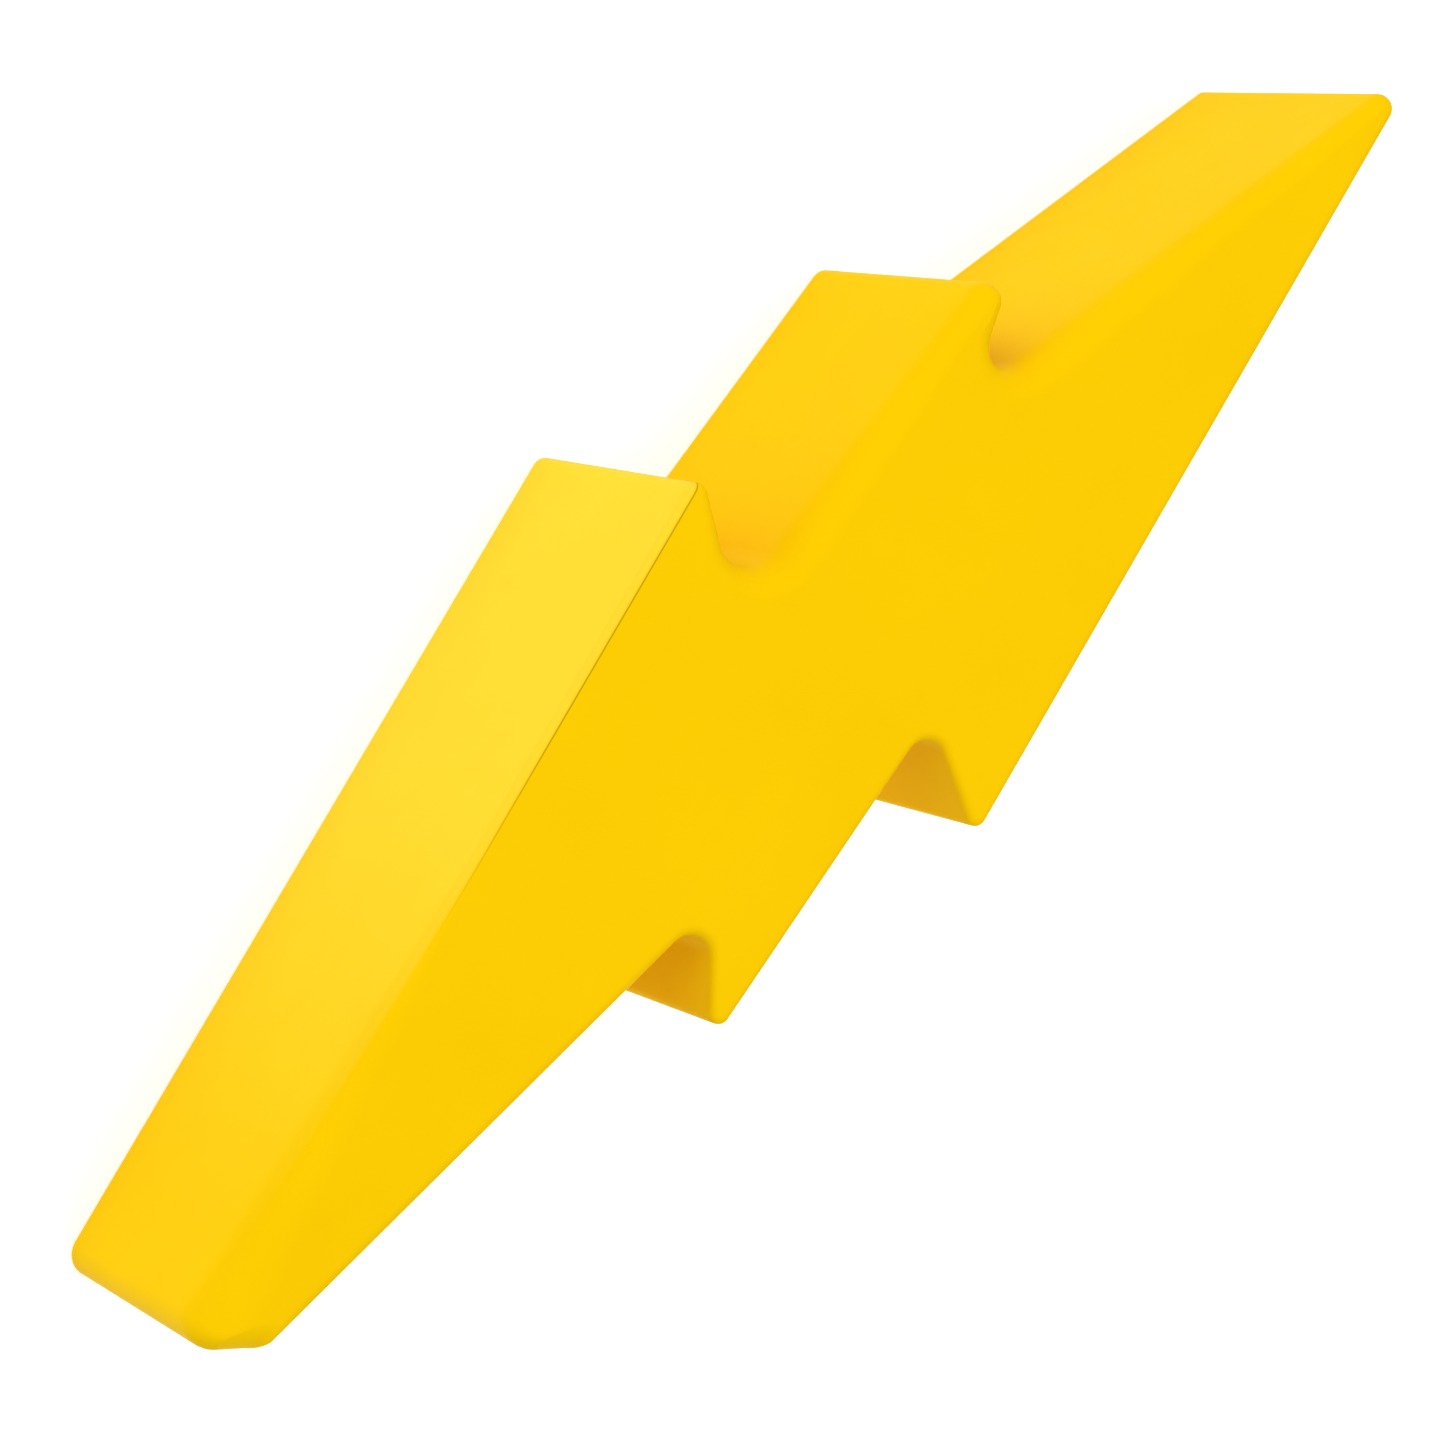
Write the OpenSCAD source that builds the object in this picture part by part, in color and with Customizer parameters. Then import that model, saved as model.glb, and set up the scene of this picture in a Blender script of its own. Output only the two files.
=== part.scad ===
// Parking wheel stop with a zig-zag outline, for one wheel.
// A hollow moulded shell closes over a screwed base plate. A steel spine inside carries the
// threaded sockets that hold the stop down, so no fixing shows from above.
// X runs along the stop, Z is up, and the origin is the middle of the footprint on the ground.

/* [Outline] */
// Length of the zig-zag from tip to tip, before its corners are rounded
stop_l = 577; // [560:1:610]
// Width across the outermost corners, before they are rounded
stop_w = 156; // [152:1:165]
// Height above the ground
stop_h = 100; // [90:1:120]
// Height of the shell's lower rim above the ground
rim_z = 1.5; // [1:0.1:2.5]

/* [Shell] */
// Thickness of the side walls
wall_t = 6; // [5:0.5:7]
// Thickness under the top face
top_t = 8; // [7:0.5:10]
// Thickness of the cross ribs
rib_t = 5; // [4:0.5:7]

/* [Base plate] */
// Thickness of the plate
plate_t = 6; // [5:0.5:8]
// Gap all round between the plate and the shell
plate_gap = 0.4; // [0.3:0.1:0.8]
// Depth of the shell's rim around the plate
rebate_w = 2.6; // [2:0.1:3]

/* [Ground fixing] */
// Distance between the two threaded sockets
anchor_pitch = 250; // [230:1:260]
// Drilled radius of each socket, for an M12 thread
anchor_r = 5.1; // [4.2:0.1:5.5]
// Depth of each thread
anchor_depth = 32; // [24:1:34]
// Width of the flat steel spine
spine_w = 25; // [20:1:26]
// Thickness of the spine
spine_t = 6; // [5:0.5:8]

/* [Grip pads] */
// Diameter of a rubber pad
pad_d = 28; // [24:1:30]
// Thickness of a pad, most of it let into the base plate
pad_t = 4; // [3:0.5:5]

/* [Hidden] */
$fn = 48;

eps = 0.01;
arc_steps = 6;
edge_steps = 5;
smallest_r = 1.2;
// The skin is drawn down to here, below the ground, and then cut off level with the rim.
skirt_z = -10;
plate_z = rim_z;
plate_top = plate_z + plate_t;
ceiling_z = stop_h - top_t;
// The two ends of the hollow; beyond them the tips are solid.
hollow_x = [-190, 240];

spine_z = plate_top + 9;
spine_top = spine_z + spine_t;
spine_room_gap = 2;
bolt_hole_r = 4.5;
bolt_r = 3.4;
bolt_head_r = 7.5;
bolt_head_h = 5.3;
washer_r = 8;
washer_t = 1.6;
washer_gap = 0.1;

socket_r = 10;
socket_h = 40;
socket_gap = 0.4;
socket_weld_gap = 0.05;
socket_room_gap = 3;
collar_r = 13;
collar_t = 4;

pillar_r = 11;
insert_r = 6;
insert_h = 14;
// Room left in a pillar above its insert, and in an insert above the bolt's end.
insert_room = 2;

boss_r = 6;
screw_r = 1.9;
screw_end = 21;
screw_gap = 0.7;
head_r = 4.6;
head_h = 2.6;
head_gap = 0.6;
// Depth of a screw's head below the plate's underside, and the hexagon its key fits.
head_sunk = 0.4;
key_r = 2;
key_h = 1.2;
pad_gap = 0.3;

// Corners of the outline, going round it anticlockwise from the blunt tip. Each one holds
// [share of the length, share of the width, radius in plan,
//  radius of the top edge that arrives, radius of the top edge that leaves].
CORNERS = [
    [0, 0, 8, 16, 10],
    [0.033, -0.122, 9, 10, 4],
    [0.361, -0.161, 7, 4, 3],
    [0.311, -0.371, 4, 3, 3],
    [0.523, -0.226, 7, 3, 3],
    [0.501, -0.487, 4, 3, 3],
    [1, 0, 5, 4, 5],
    [0.659, 0.189, 7, 12, 8],
    [0.733, 0.388, 6, 5, 7],
    [0.479, 0.238, 12, 12, 8],
    [0.506, 0.522, 5, 4, 2.5],
    [0.278, 0.287, 0, 2.5, 2.5],
];

function unit(v) = v / norm(v);
function left(v) = [-v.y, v.x];
function cross2(a, b) = a.x * b.y - a.y * b.x;
function turned(v, angle) = [
    v.x * cos(angle) - v.y * sin(angle),
    v.x * sin(angle) + v.y * cos(angle),
];
function at(along, across) = [along * stop_l, across * stop_w];
function place(i) = at(CORNERS[i][0], CORNERS[i][1]);

// Where the two edges at a corner meet once each has moved inwards by its own depth.
function moved_corner(b, u, v, depth_in, depth_out) =
    let (a = left(u), c = left(v), k = cross2(a, c))
    abs(k) < 0.02
        ? b + a * depth_in
        : b + (depth_in * [c.y, -c.x] - depth_out * [a.y, -a.x]) / k;

// Points of one rounded corner, with a third figure that runs from 0 to 1 along the arc.
function corner_arc(i, depth_in, depth_out) =
    let (
        n = len(CORNERS),
        b = place(i),
        u = unit(b - place((i + n - 1) % n)),
        v = unit(place((i + 1) % n) - b),
        turn = atan2(cross2(u, v), u * v),
        side = sign(turn),
        p = moved_corner(b, u, v, depth_in, depth_out),
        r = max(CORNERS[i][2] - side * (depth_in + depth_out) / 2, smallest_r),
        start = p - u * r * tan(abs(turn) / 2),
        centre = start + side * r * left(u)
    )
    CORNERS[i][2] == 0
        ? [[p.x, p.y, 0.5]]
        : [for (k = [0:arc_steps])
            let (q = centre + turned(start - centre, turn * k / arc_steps))
            [q.x, q.y, k / arc_steps]];

// The outline moved inwards by one depth all round.
function inner_outline(depth) =
    [for (i = [0:len(CORNERS) - 1]) for (q = corner_arc(i, depth, depth)) [q.x, q.y]];

// The middle of the rounded footprint, which becomes the origin.
RIM = inner_outline(0);
middle = [
    (max([for (p = RIM) p.x]) + min([for (p = RIM) p.x])) / 2,
    (max([for (p = RIM) p.y]) + min([for (p = RIM) p.y])) / 2,
];

// One ring of the skin: at angle 0 the walls end, and at 90 the top face begins.
function edge_ring(angle) =
    [for (i = [0:len(CORNERS) - 1])
        let (
            e_in = CORNERS[i][3],
            e_out = CORNERS[i][4],
            arc = corner_arc(i, e_in * (1 - cos(angle)), e_out * (1 - cos(angle)))
        )
        for (q = arc)
            [q.x, q.y, stop_h - (e_in + (e_out - e_in) * q[2]) * (1 - sin(angle))]];

// Places of the screws, the pads and the pillars over the spine, in the stop's own frame.
SCREWS = [[-216, -6], [-62, 42], [-8, 60], [102, 43], [210, -7], [34, -58], [-72, -44], [-73, 16]];
PADS = [[-184, -2], [-38, 34], [-40, -28], [72, 20], [46, -37], [176, -9]];
PILLARS = [-106, -14, 78];
RIBS = [-158, -66, 40, 134];
spine_at = [-14, -3];
spine_l = 300;
ANCHORS = [spine_at.x - anchor_pitch / 2, spine_at.x + anchor_pitch / 2];

module centred() {
    translate([-middle.x, -middle.y, 0]) children();
}

// The outline moved inwards by one depth and raised between two heights.
module block(depth, z0, z1) {
    centred() translate([0, 0, z0]) linear_extrude(z1 - z0) polygon(inner_outline(depth));
}

module box_around(x0, x1, width, z0, z1) {
    translate([x0, spine_at.y - width / 2, z0]) cube([x1 - x0, width, z1 - z0]);
}

// Outer skin: straight walls, then a top edge rounded by rings of shrinking outline.
module skin() {
    lower = [for (p = RIM) [p.x, p.y, skirt_z]];
    rings = [for (k = [0:edge_steps]) edge_ring(90 * k / edge_steps)];
    points = concat(lower, [for (ring = rings) for (p = ring) p]);
    n = len(RIM);
    sides = [for (j = [0:edge_steps]) for (i = [0:n - 1])
        let (a = j * n + i, b = j * n + (i + 1) % n)
        each [[a, b + n, b], [a, a + n, b + n]]];
    foot = [for (i = [0:n - 1]) i];
    cap = [for (i = [n - 1:-1:0]) (edge_steps + 1) * n + i];
    centred() polyhedron(points, concat([foot], sides, [cap]));
}

module ribs() {
    for (x = RIBS) box_around(x - rib_t / 2, x + rib_t / 2, 2 * stop_w, 0, stop_h);
    box_around(RIBS[0], RIBS[3], rib_t, 0, stop_h);
}

// Room for the spine, its bolts and the sockets, cut out of the ribs.
module spine_room() {
    half = spine_l / 2 + spine_room_gap;
    box_around(spine_at.x - half, spine_at.x + half, spine_w + spine_room_gap, 0, spine_top);
    for (x = ANCHORS) translate([x, spine_at.y, 0])
        cylinder(r = socket_r + socket_room_gap, h = plate_z + socket_h + socket_room_gap);
}

// Hollow inside of the shell: one pocket, less its ribs, bosses and pillars.
module hollow() {
    difference() {
        intersection() {
            block(wall_t, plate_top - eps, ceiling_z);
            box_around(hollow_x[0], hollow_x[1], 2 * stop_w, 0, stop_h);
        }
        difference() {
            ribs();
            spine_room();
        }
        for (p = SCREWS) translate([p.x, p.y, 0]) cylinder(r = boss_r, h = stop_h);
        for (x = PILLARS) translate([x, spine_at.y, spine_top]) cylinder(r = pillar_r, h = stop_h);
    }
}

module body_shell() {
    color([0.98, 0.8, 0.02])
    difference() {
        skin();
        translate([-stop_l, -stop_l, 2 * skirt_z]) cube([2 * stop_l, 2 * stop_l, rim_z - 2 * skirt_z]);
        hollow();
        block(rebate_w, 0, plate_top);
        for (p = SCREWS) translate([p.x, p.y, 0]) cylinder(r = screw_r, h = screw_end + 1);
        for (x = PILLARS) translate([x, spine_at.y, spine_top - eps])
            cylinder(r = insert_r, h = insert_h + insert_room);
    }
}

module base_plate() {
    color([0.12, 0.12, 0.13])
    difference() {
        block(rebate_w + plate_gap, plate_z, plate_top);
        for (p = SCREWS) translate([p.x, p.y, plate_z - 1]) {
            cylinder(r = screw_r + screw_gap, h = plate_t + 2);
            cylinder(r = head_r + head_gap, h = 1 + head_sunk + head_h);
        }
        for (p = PADS) translate([p.x, p.y, 0]) cylinder(r = pad_d / 2 + pad_gap, h = pad_t);
        for (x = ANCHORS) translate([x, spine_at.y, 0]) cylinder(r = socket_r + socket_gap, h = stop_h);
    }
}

module anchor_spine() {
    color([0.7, 0.72, 0.74])
    difference() {
        box_around(spine_at.x - spine_l / 2, spine_at.x + spine_l / 2, spine_w, spine_z, spine_top);
        for (x = ANCHORS) translate([x, spine_at.y, 0])
            cylinder(r = socket_r + socket_weld_gap, h = stop_h);
        for (x = PILLARS) translate([x, spine_at.y, 0]) cylinder(r = bolt_hole_r, h = stop_h);
    }
}

// A turned socket with a collar that is welded under the spine; its thread opens downwards.
module anchor_socket(x) {
    color([0.75, 0.76, 0.78])
    translate([x, spine_at.y, plate_z])
    difference() {
        union() {
            cylinder(r = socket_r, h = socket_h);
            translate([0, 0, spine_z - plate_z - collar_t]) cylinder(r = collar_r, h = collar_t);
        }
        translate([0, 0, -1]) cylinder(r = anchor_r, h = anchor_depth + 1);
    }
}

module pillar_inserts() {
    color([0.8, 0.62, 0.25])
    for (x = PILLARS) translate([x, spine_at.y, spine_top])
        difference() {
            cylinder(r = insert_r, h = insert_h);
            translate([0, 0, -1]) cylinder(r = bolt_r, h = insert_h + 2);
        }
}

module spine_bolts() {
    color([0.72, 0.73, 0.75])
    for (x = PILLARS) translate([x, spine_at.y, spine_z - washer_t]) {
        translate([0, 0, -bolt_head_h]) cylinder(r = bolt_head_r, h = bolt_head_h, $fn = 6);
        cylinder(r = bolt_r, h = washer_t + spine_t + insert_h - insert_room);
    }
}

module spine_washers() {
    color([0.78, 0.79, 0.8])
    for (x = PILLARS) translate([x, spine_at.y, spine_z - washer_t])
        difference() {
            cylinder(r = washer_r, h = washer_t);
            translate([0, 0, -1]) cylinder(r = bolt_r + washer_gap, h = washer_t + 2);
        }
}

module base_screws() {
    color([0.8, 0.8, 0.82])
    for (p = SCREWS) translate([p.x, p.y, plate_z + head_sunk])
        difference() {
            union() {
                cylinder(r = head_r, h = head_h);
                cylinder(r = screw_r, h = screw_end - plate_z - head_sunk);
            }
            translate([0, 0, -1]) cylinder(r = key_r, h = key_h + 1, $fn = 6);
        }
}

module grip_pad(i) {
    color([0.06, 0.06, 0.06])
    translate([PADS[i].x, PADS[i].y, 0]) cylinder(r = pad_d / 2, h = pad_t);
}

body_shell();
base_plate();
anchor_spine();
anchor_socket(ANCHORS[0]);  // anchor_socket_west
anchor_socket(ANCHORS[1]);  // anchor_socket_east
pillar_inserts();
spine_bolts();
spine_washers();
base_screws();
grip_pad(0);  // grip_pad_1
grip_pad(1);  // grip_pad_2
grip_pad(2);  // grip_pad_3
grip_pad(3);  // grip_pad_4
grip_pad(4);  // grip_pad_5
grip_pad(5);  // grip_pad_6
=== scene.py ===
"""Looks of the zig-zag parking wheel stop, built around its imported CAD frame."""
import math

import bmesh
import bpy
from mathutils import Matrix, Vector


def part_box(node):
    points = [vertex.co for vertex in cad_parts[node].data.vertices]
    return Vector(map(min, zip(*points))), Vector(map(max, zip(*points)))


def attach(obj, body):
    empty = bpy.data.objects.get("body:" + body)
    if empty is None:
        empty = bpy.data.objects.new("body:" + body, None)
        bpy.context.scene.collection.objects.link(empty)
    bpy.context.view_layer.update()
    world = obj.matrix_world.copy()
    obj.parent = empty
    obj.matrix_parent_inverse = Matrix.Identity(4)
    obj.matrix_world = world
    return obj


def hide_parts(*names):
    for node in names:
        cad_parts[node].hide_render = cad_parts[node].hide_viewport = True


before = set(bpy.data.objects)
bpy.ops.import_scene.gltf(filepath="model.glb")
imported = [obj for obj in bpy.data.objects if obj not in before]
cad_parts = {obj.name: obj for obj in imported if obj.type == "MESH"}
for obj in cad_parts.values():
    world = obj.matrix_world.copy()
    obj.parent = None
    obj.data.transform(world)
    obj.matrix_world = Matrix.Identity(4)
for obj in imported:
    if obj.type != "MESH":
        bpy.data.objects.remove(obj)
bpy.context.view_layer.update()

MM = 0.001
SHELL_LOW, SHELL_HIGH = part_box("body_shell")

# The shell's outline, as in the CAD design: length and width between sharp corners, then for each
# corner its place along and across as shares of them, its radius in plan, and the radii of the top
# edge before and after it. The radii are in millimetres. The outline runs anticlockwise.
SHARP_LENGTH = 577 * MM
SHARP_WIDTH = 156 * MM
CORNERS = [
    (0, 0, 8, 16, 10),
    (0.033, -0.122, 9, 10, 4),
    (0.361, -0.161, 7, 4, 3),
    (0.311, -0.371, 4, 3, 3),
    (0.523, -0.226, 7, 3, 3),
    (0.501, -0.487, 4, 3, 3),
    (1, 0, 5, 4, 5),
    (0.659, 0.189, 7, 12, 8),
    (0.733, 0.388, 6, 5, 7),
    (0.479, 0.238, 12, 12, 8),
    (0.506, 0.522, 5, 4, 2.5),
    (0.278, 0.287, 0, 2.5, 2.5),
]
# The corners at the two ends of the long side.
TALL_TOOTH = 10
BLUNT_TIP = 0

# How fine the skin is: steps round a corner in plan and over the top edge, rows up the walls, and
# the length of one span along a straight edge.
ARC_STEPS = 14
EDGE_STEPS = 10
WALL_ROWS = 12
SPAN = 6 * MM
SMALLEST_RADIUS = 1.2 * MM
# The fine skin lies this far inside the CAD's faceted one, and starts this far below its rim.
INSET = 0.3 * MM
FOOT_DROP = 1 * MM
MERGE_DISTANCE = 0.001 * MM
SHARP_ANGLE = math.radians(35)

# The painted sheen, a paler tone on the long side that stands in for light falling on it, starts
# and is full this far in from its face. Along the side, it starts this far from the blunt tip and
# is full this far from the tall tooth.
SHEEN_START_DEPTH = 3 * MM
SHEEN_FULL_DEPTH = 1.5 * MM
SHEEN_FROM_TIP = 20 * MM
SHEEN_FROM_TOOTH = 70 * MM
# The painted crease shade, a dark line that stands in for shade along the long side's top edge:
# its middle and edges, in from the same face. It starts this far on the tip's side of the middle
# of the long side, and is full this far from the tall tooth.
CREASE_SHADE_DEPTH = 2.8 * MM
CREASE_SHADE_INNER_DEPTH = 3.2 * MM
CREASE_SHADE_OUTER_DEPTH = 2.4 * MM
CREASE_SHADE_PAST_MIDDLE = 20 * MM
CREASE_SHADE_FROM_TOOTH = 80 * MM

CAMERA_SENSOR = 36
CAMERA_LENS = 109.18
CAMERA_AZIMUTH = -146.37
CAMERA_ELEVATION = 58.81
CAMERA_ROLL = 104.36
CAMERA_DISTANCE = 1.3714
CAMERA_AIM = Vector((-0.01871, -0.01048, 0.05))
FLOOR_DROP = 0.3 * MM
WORLD_STRENGTH = 0.38

EAST = Vector((1, 0, 0))


def left(direction):
    return Vector((-direction.y, direction.x))


def cross2(a, b):
    return a.x * b.y - a.y * b.x


def corner_place(i):
    """A sharp corner in the corner table's own frame."""
    along, across = CORNERS[i % len(CORNERS)][:2]
    return Vector((along * SHARP_LENGTH, across * SHARP_WIDTH))


def corner_arc(i, depth_before, depth_after):
    """Points of one rounded corner once its two edges have moved inwards by their own depths."""
    corner = corner_place(i)
    before = (corner - corner_place(i - 1)).normalized()
    after = (corner_place(i + 1) - corner).normalized()
    radius = CORNERS[i][2] * MM
    if radius == 0:
        return [corner + left(before) * (depth_before + depth_after) / 2]
    moved = corner + (depth_before * after - depth_after * before) / cross2(before, after)
    turn = math.atan2(cross2(before, after), before.dot(after))
    side = math.copysign(1, turn)
    radius = max(radius - side * (depth_before + depth_after) / 2, SMALLEST_RADIUS)
    start = moved - before * radius * math.tan(abs(turn) / 2)
    centre = start + side * radius * left(before)
    return [centre + Matrix.Rotation(turn * step / ARC_STEPS, 2) @ (start - centre)
            for step in range(ARC_STEPS + 1)]


def spans(i):
    """How many mesh spans the straight edge after a corner is cut into."""
    gap = corner_arc((i + 1) % len(CORNERS), 0, 0)[0] - corner_arc(i, 0, 0)[-1]
    return max(round(gap.length / SPAN), 2)


def ring(angle):
    """One closed ring of the skin. At angle 0 the walls end, and at 90 degrees the top begins."""
    inwards = 1 - math.cos(math.radians(angle))
    below = 1 - math.sin(math.radians(angle))
    arcs = [corner_arc(i, corner[3] * MM * inwards + INSET, corner[4] * MM * inwards + INSET)
            for i, corner in enumerate(CORNERS)]
    points = []
    for i, arc in enumerate(arcs):
        following = (i + 1) % len(CORNERS)
        edge_before, edge_after = CORNERS[i][3] * MM, CORNERS[i][4] * MM
        edge_following = CORNERS[following][3] * MM
        last = max(len(arc) - 1, 1)
        for step, point in enumerate(arc):
            points.append((point, edge_before + (edge_after - edge_before) * step / last))
        count = spans(i)
        for step in range(1, count):
            share = step / count
            point = arc[-1].lerp(arcs[following][0], share)
            points.append((point, edge_after + (edge_following - edge_after) * share))
    return [Vector((point.x, point.y, SHELL_HIGH.z - INSET - edge * below)) for point, edge in points]


def middle_shift():
    """From the corner table's own origin to the middle of the CAD shell's footprint."""
    points = ring(0)
    xs = [point.x for point in points]
    ys = [point.y for point in points]
    return Vector(((SHELL_LOW.x + SHELL_HIGH.x - min(xs) - max(xs)) / 2,
                   (SHELL_LOW.y + SHELL_HIGH.y - min(ys) - max(ys)) / 2, 0))


def long_side():
    """The long side's outward direction, its distance along that, and its two ends."""
    tooth, tip = (corner_place(i).to_3d() + middle_shift() for i in (TALL_TOOTH, BLUNT_TIP))
    along = (tip - tooth).normalized()
    outwards = Vector((along.y, -along.x, 0))
    return outwards, outwards.dot(tooth), tooth, tip


def shell_skin():
    """A closed solid with the shell's outside: straight walls under a rounded top edge."""
    rings = [ring(90 * step / EDGE_STEPS) for step in range(EDGE_STEPS + 1)]
    shift = middle_shift()
    foot = SHELL_LOW.z - FOOT_DROP
    rows = []
    for row in range(WALL_ROWS):
        share = row / WALL_ROWS
        rows.append([Vector((p.x, p.y, foot + (p.z - foot) * share)) for p in rings[0]])
    rows += rings
    bm = bmesh.new()
    loops = [[bm.verts.new(point + shift) for point in row] for row in rows]
    count = len(loops[0])
    for lower, upper in zip(loops, loops[1:]):
        for k in range(count):
            following = (k + 1) % count
            bm.faces.new((lower[k], lower[following], upper[following], upper[k]))
    bm.faces.new(loops[-1])
    bm.faces.new(list(reversed(loops[0])))
    bmesh.ops.recalc_face_normals(bm, faces=bm.faces)
    return bm


def link_mesh(name, bm):
    """Turn a bmesh into an object in the scene, and free it."""
    mesh = bpy.data.meshes.new(name)
    bm.to_mesh(mesh)
    bm.free()
    thing = bpy.data.objects.new(name, mesh)
    bpy.context.collection.objects.link(thing)
    return thing


def hollow_shell():
    """The fine skin, with the inside of the CAD shell: its pocket, ribs, pillars, bosses and rim."""
    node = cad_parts["body_shell"]
    inside = bmesh.new()
    inside.from_mesh(node.data)
    inside.transform(node.matrix_world)
    bmesh.ops.remove_doubles(inside, verts=inside.verts, dist=MERGE_DISTANCE)
    cutter = link_mesh("cutter", inside)
    skin = link_mesh("skin", shell_skin())
    keep = skin.modifiers.new("keep", "BOOLEAN")
    keep.operation = "INTERSECT"
    keep.solver = "MANIFOLD"
    keep.object = cutter
    bm = bmesh.new()
    bm.from_object(skin, bpy.context.evaluated_depsgraph_get())
    for thing in (skin, cutter):
        mesh = thing.data
        bpy.data.objects.remove(thing)
        bpy.data.meshes.remove(mesh)
    return bm


def add_piece(name, bm, material):
    """Link a piece that is smooth apart from the edges that turn more than SHARP_ANGLE."""
    for face in bm.faces:
        face.smooth = True
    for edge in bm.edges:
        if len(edge.link_faces) == 2 and edge.calc_face_angle() > SHARP_ANGLE:
            edge.smooth = False
    piece = link_mesh(name, bm)
    piece.data.materials.append(material)
    weighted = piece.modifiers.new("even_normals", "WEIGHTED_NORMAL")
    weighted.keep_sharp = True
    return piece


class Nodes:
    """A short way to lay out one material's nodes."""

    # A Mix node in its colour form takes and gives colours through these sockets.
    COLOUR_A = 6
    COLOUR_B = 7
    COLOUR_RESULT = 2

    def __init__(self, name, **sockets):
        self.material = bpy.data.materials.new(name)
        self.material.use_nodes = True
        self.tree = self.material.node_tree
        self.shader = self.tree.nodes["Principled BSDF"]
        for socket, value in sockets.items():
            self.shader.inputs[socket.replace("_", " ")].default_value = value
        coordinates = self.tree.nodes.new("ShaderNodeTexCoord")
        self.place = coordinates.outputs["Object"]
        self.box_place = coordinates.outputs["Generated"]

    def add(self, kind, inputs=(), **settings):
        """Add a node, with each input linked to a socket or set to a value."""
        node = self.tree.nodes.new(kind)
        for key, value in settings.items():
            setattr(node, key, value)
        for socket, value in dict(inputs).items():
            if isinstance(value, bpy.types.NodeSocket):
                self.tree.links.new(value, node.inputs[socket])
            else:
                node.inputs[socket].default_value = value
        return node

    def cells(self, scale, output="Distance"):
        return self.add("ShaderNodeTexVoronoi", {"Vector": self.place, "Scale": scale}).outputs[output]

    def noise(self, scale, detail=3, roughness=0.5):
        return self.add("ShaderNodeTexNoise", {
            "Vector": self.place, "Scale": scale, "Detail": detail, "Roughness": roughness,
        }).outputs["Fac"]

    def ramp(self, factor, *stops):
        """A colour ramp with a stop for each position and colour."""
        node = self.add("ShaderNodeValToRGB", {"Fac": factor})
        while len(node.color_ramp.elements) < len(stops):
            node.color_ramp.elements.new(0.5)
        for element, (position, colour) in zip(node.color_ramp.elements, stops):
            element.position = position
            element.color = (*colour, 1)
        return node.outputs["Color"]

    def between(self, factor, low, high):
        """A factor from 0 to 1, stretched to run from low to high."""
        inputs = {"Value": factor, "To Min": low, "To Max": high}
        return self.add("ShaderNodeMapRange", inputs).outputs["Result"]

    def mix(self, factor, a, b):
        inputs = {"Factor": factor, self.COLOUR_A: a, self.COLOUR_B: b}
        return self.add("ShaderNodeMix", inputs, data_type="RGBA").outputs[self.COLOUR_RESULT]

    def combine(self, operation, a, b):
        return self.add("ShaderNodeMath", {0: a, 1: b}, operation=operation).outputs[0]

    def vector(self, operation, a, b=None):
        inputs = {0: a} if b is None else {0: a, 1: b}
        node = self.add("ShaderNodeVectorMath", inputs, operation=operation)
        return node.outputs["Value" if operation in ("DOT_PRODUCT", "LENGTH") else "Vector"]

    def along(self, direction, start, end):
        """0 to 1 as a point moves along a direction, between two distances in metres."""
        reach = self.vector("DOT_PRODUCT", self.place, direction)
        inputs = {"Value": reach, "From Min": start, "From Max": end}
        return self.add("ShaderNodeMapRange", inputs, interpolation_type="SMOOTHSTEP").outputs["Result"]

    def bump(self, height, distance, strength=1, normal=None):
        inputs = {"Height": height, "Distance": distance, "Strength": strength}
        if normal:
            inputs["Normal"] = normal
        return self.add("ShaderNodeBump", inputs).outputs["Normal"]

    def use(self, socket, value):
        self.tree.links.new(value, self.shader.inputs[socket])


def painted_sheen(m):
    """Painted sheen: the long side next to the tall tooth is a little paler, and less so towards the
    tip.
    """
    outwards, face, tooth, tip = long_side()
    on_side = m.along(outwards, face - SHEEN_START_DEPTH, face - SHEEN_FULL_DEPTH)
    fade = m.along(EAST, tip.x + SHEEN_FROM_TIP, tooth.x - SHEEN_FROM_TOOTH)
    return m.combine("MULTIPLY", on_side, fade)


def painted_crease_shade(m):
    """Painted shade: a dark line along the long side's top edge, from the tooth to its middle."""
    outwards, face, tooth, tip = long_side()
    inner = m.along(outwards, face - CREASE_SHADE_INNER_DEPTH, face - CREASE_SHADE_DEPTH)
    outer = m.along(outwards, face - CREASE_SHADE_OUTER_DEPTH, face - CREASE_SHADE_DEPTH)
    middle = (tooth.x + tip.x) / 2
    fade = m.along(EAST, middle - CREASE_SHADE_PAST_MIDDLE, tooth.x - CREASE_SHADE_FROM_TOOTH)
    return m.combine("MULTIPLY", m.combine("MULTIPLY", inner, outer), fade)


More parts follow.
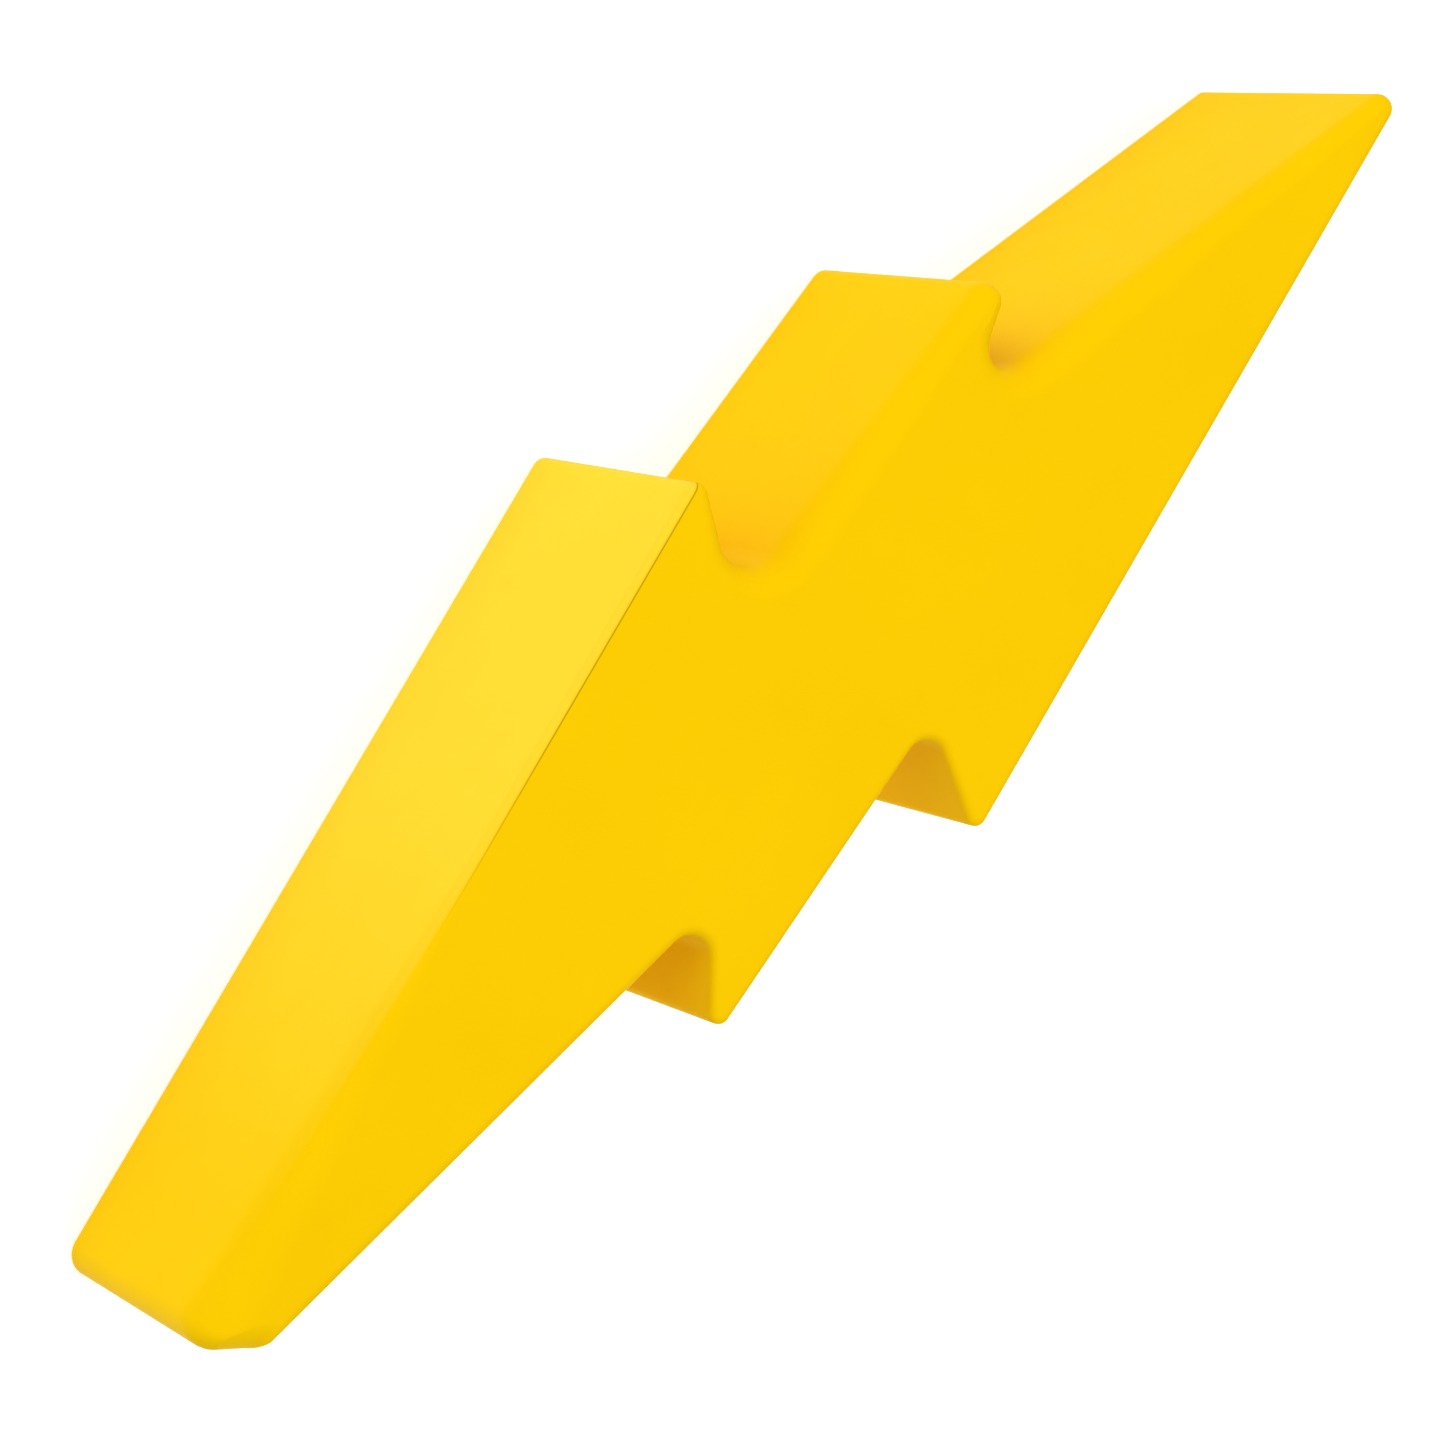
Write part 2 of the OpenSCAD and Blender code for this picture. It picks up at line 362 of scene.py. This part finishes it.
def yellow_plastic():
    """Yellow moulded plastic with a fine orange peel, painted sheen on the long side and a painted line
    of shade along its top edge.
    """
    m = Nodes("yellow_plastic", IOR=1.5, Specular_IOR_Level=0.008, Specular_Tint=(1, 0.8, 0.05, 1))
    clouds = m.noise(14, 4, 0.6)
    body = m.ramp(clouds, (0.3, (0.89, 0.55, 0.0008)), (0.7, (0.92, 0.575, 0.0012)))
    # The paler, whiter tone is painted sheen: it stands in for light on the long side.
    pale = m.ramp(clouds, (0.3, (0.9, 0.63, 0.026)), (0.7, (0.93, 0.655, 0.032)))
    # This dark colour is painted shade, a line along the long side's top edge.
    crease_shade_colour = (0.42, 0.3, 0.004, 1)
    m.use("Base Color", m.mix(painted_crease_shade(m), m.mix(painted_sheen(m), body, pale), crease_shade_colour))
    m.use("Roughness", m.between(m.noise(60, 4), 0.38, 0.5))
    peel = m.bump(m.noise(260, 2), 0.0001, 0.25)
    m.use("Normal", m.bump(m.noise(1500, 2), 0.00004, 0.35, peel))
    return m.material


def black_plate():
    """Recycled black plastic with a scatter of paler granules."""
    m = Nodes("black_plate", IOR=1.5)
    grains = m.cells(420)
    m.use("Base Color", m.ramp(grains, (0.15, (0.05, 0.05, 0.052)), (0.45, (0.014, 0.014, 0.015))))
    m.use("Roughness", m.between(m.noise(160, 4), 0.5, 0.75))
    m.use("Normal", m.bump(m.noise(1300, 3), 0.00008, 0.5, m.bump(grains, 0.0001, 0.4)))
    return m.material


def pad_rubber():
    """Black rubber with moulded rings, centred on each pad."""
    m = Nodes("pad_rubber", IOR=1.5)
    from_middle = m.vector("SUBTRACT", m.box_place, (0.5, 0.5, 0.5))
    radius = m.vector("LENGTH", m.vector("MULTIPLY", from_middle, (1, 1, 0)))
    rings = m.combine("PINGPONG", radius, 0.05)
    dust = m.noise(300, 5, 0.7)
    m.use("Base Color", m.ramp(dust, (0.4, (0.012, 0.012, 0.012)), (0.75, (0.045, 0.043, 0.04))))
    m.use("Roughness", m.between(dust, 0.7, 0.9))
    m.use("Normal", m.bump(m.between(rings, 0, 20), 0.0004, 0.8))
    return m.material


def galvanised_steel():
    """Hot-dip zinc, with its crystal spangle."""
    m = Nodes("galvanised_steel", Metallic=1.0)
    spangle = m.cells(160, "Color")
    m.use("Base Color", m.ramp(spangle, (0.2, (0.5, 0.52, 0.54)), (0.8, (0.66, 0.68, 0.7))))
    m.use("Roughness", m.between(m.noise(220, 4), 0.38, 0.58))
    m.use("Normal", m.bump(m.noise(500, 3), 0.00005, 0.3))
    return m.material


def turned_metal(name, dark, light):
    """Machined metal, slightly uneven in tone and gloss."""
    m = Nodes(name, Metallic=1.0)
    m.use("Base Color", m.ramp(m.noise(240, 4, 0.6), (0.35, dark), (0.65, light)))
    m.use("Roughness", m.between(m.noise(700, 3), 0.22, 0.42))
    m.use("Normal", m.bump(m.noise(1600, 2), 0.00003, 0.3))
    return m.material


def white_floor():
    """A plain pale floor that glows a little, so that it stays white round the object."""
    m = Nodes("white_floor", Base_Color=(0.9, 0.9, 0.9, 1), Roughness=0.9,
              Emission_Color=(1, 1, 1, 1), Emission_Strength=0.45)
    return m.material


def seen_from(azimuth, elevation):
    """Unit vector towards a viewer. Azimuth 0 is on -Y and 90 on +X."""
    az, el = math.radians(azimuth), math.radians(elevation)
    return Vector((math.sin(az) * math.cos(el), -math.cos(az) * math.cos(el), math.sin(el)))


def add_camera():
    """The camera at the photograph's angle."""
    camera = bpy.data.objects.new("camera", bpy.data.cameras.new("camera"))
    bpy.context.collection.objects.link(camera)
    camera.data.sensor_width = CAMERA_SENSOR
    camera.data.lens = CAMERA_LENS
    direction = seen_from(CAMERA_AZIMUTH, CAMERA_ELEVATION)
    look = (-direction).to_track_quat("-Z", "Y").to_matrix()
    roll = Matrix.Rotation(math.radians(CAMERA_ROLL), 3, "Z")
    place = Matrix.Translation(CAMERA_AIM + direction * CAMERA_DISTANCE)
    camera.matrix_world = place @ (look @ roll).to_4x4()
    bpy.context.scene.camera = camera


def add_light(name, azimuth, elevation, distance, size, power):
    """A round soft light that points at the object."""
    light = bpy.data.lights.new(name, "AREA")
    light.shape = "DISK"
    light.size = size
    light.energy = power
    lamp = bpy.data.objects.new(name, light)
    lamp.location = seen_from(azimuth, elevation) * distance
    lamp.rotation_euler = (-lamp.location).to_track_quat("-Z", "Y").to_euler()
    bpy.context.collection.objects.link(lamp)


def add_floor():
    bm = bmesh.new()
    bmesh.ops.create_grid(bm, x_segments=8, y_segments=8, size=6)
    floor = link_mesh("floor", bm)
    floor.data.materials.append(white_floor())
    floor.location.z = -FLOOR_DROP


def add_world():
    world = bpy.data.worlds.new("studio")
    world.use_nodes = True
    background = world.node_tree.nodes["Background"]
    background.inputs["Color"].default_value = (1, 1, 1, 1)
    background.inputs["Strength"].default_value = WORLD_STRENGTH
    bpy.context.scene.world = world


add_camera()
add_floor()
add_world()
add_light("key", azimuth=-178, elevation=36, distance=2.2, size=1.8, power=16.4)
add_light("top", azimuth=30, elevation=80, distance=2.4, size=2.4, power=36)
bpy.context.scene.view_settings.view_transform = "Standard"

shell = add_piece("moulded_shell", hollow_shell(), yellow_plastic())
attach(shell, "root")
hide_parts("body_shell")

# The nodes that aren't listed are the shell, which is replaced above, and the rubber pads.
plate, rubber, galvanised = black_plate(), pad_rubber(), galvanised_steel()
zinc = turned_metal("zinc_steel", (0.56, 0.57, 0.58), (0.7, 0.71, 0.7))
FINISHES = {
    "base_plate": plate,
    "anchor_spine": galvanised,
    "anchor_socket_west": galvanised,
    "anchor_socket_east": galvanised,
    "pillar_inserts": turned_metal("brass", (0.68, 0.48, 0.2), (0.8, 0.6, 0.28)),
    "spine_bolts": zinc,
    "spine_washers": zinc,
    "base_screws": zinc,
}
for name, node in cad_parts.items():
    if name != "body_shell":
        node.data.materials.clear()
        node.data.materials.append(FINISHES.get(name, rubber))
